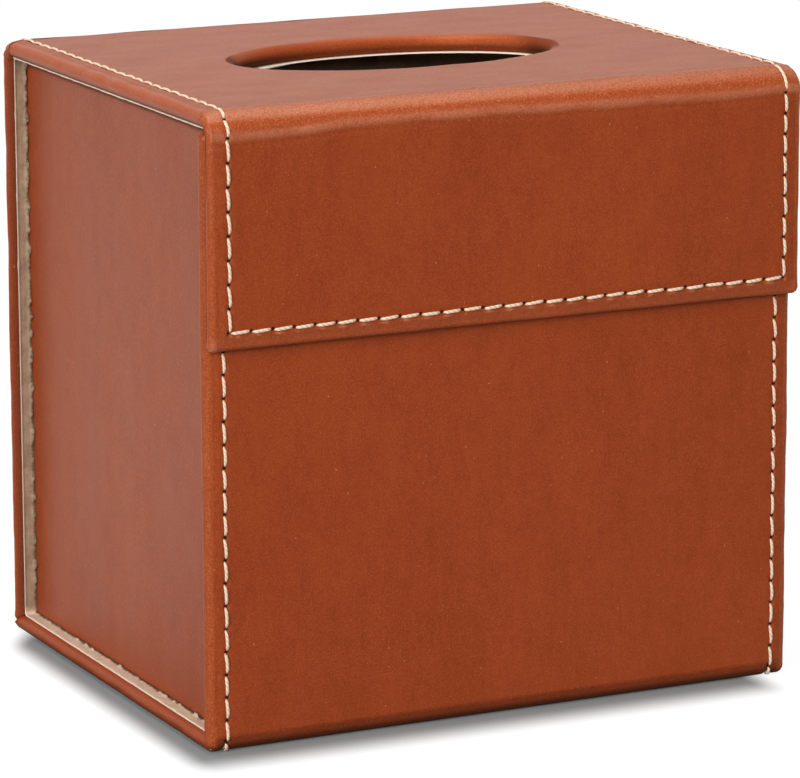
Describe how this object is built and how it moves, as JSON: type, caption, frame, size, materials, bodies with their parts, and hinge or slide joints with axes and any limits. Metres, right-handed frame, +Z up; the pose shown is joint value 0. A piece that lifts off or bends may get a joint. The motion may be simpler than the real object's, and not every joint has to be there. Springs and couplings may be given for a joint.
{
  "type": "tissue box with hinged lid",
  "caption": "Square leather-covered tissue box with an oval opening, a hinged lid and a front flap, suede-lined, with stitched turned edges.",
  "frame": {"origin": "middle of the underside, on the surface the box stands on", "axes": "+X along the width, +Y from the flap to the back, +Z up"},
  "size_m": [0.152, 0.1266, 0.1488],
  "materials": {
    "leather": "smooth tan leather, lightly polished",
    "suede_lining": "matt khaki suede",
    "thread": "waxed cream thread",
    "greyboard": "pressed grey board",
    "steel": "plated"
  },
  "bodies": {
    "case": {"front_board": "greyboard", "base_board": "greyboard", "back_board": "greyboard", "front_leather": "leather", "base_leather": "leather", "back_leather": "leather", "case_lining": "suede_lining", "left_side_board": "greyboard", "left_side_leather": "leather", "left_side_lining": "suede_lining", "right_side_board": "greyboard", "right_side_leather": "leather", "right_side_lining": "suede_lining", "catch_plates": "steel", "front_stitching": "thread", "base_stitching": "thread", "back_stitching": "thread", "lid_hinge_leather": "leather", "lid_hinge_lining": "suede_lining", "lid_hinge_stitching": "thread"},
    "lid": {"lid_board": "greyboard", "lid_leather": "leather", "lid_lining": "suede_lining", "lid_stitching": "thread", "flap_hinge_leather": "leather", "flap_hinge_lining": "suede_lining", "flap_hinge_stitching": "thread"},
    "flap": {"flap_board": "greyboard", "flap_magnets": "steel", "flap_leather": "leather", "flap_lining": "suede_lining", "flap_stitching": "thread"}
  },
  "joints": [
    {"name": "lid_hinge", "type": "hinge", "parent": "case", "child": "lid", "pos_m": [0, 0.06193, 0.14743], "axis": [-1, 0, 0], "range_deg": [0, 180], "deforming": ["lid_hinge_leather", "lid_hinge_lining", "lid_hinge_stitching"]},
    {"name": "flap_hinge", "type": "hinge", "parent": "lid", "child": "flap", "pos_m": [0, -0.0618, 0.1473], "axis": [-1, 0, 0], "range_deg": [0, 150], "deforming": ["flap_hinge_leather", "flap_hinge_lining", "flap_hinge_stitching"]}
  ]
}
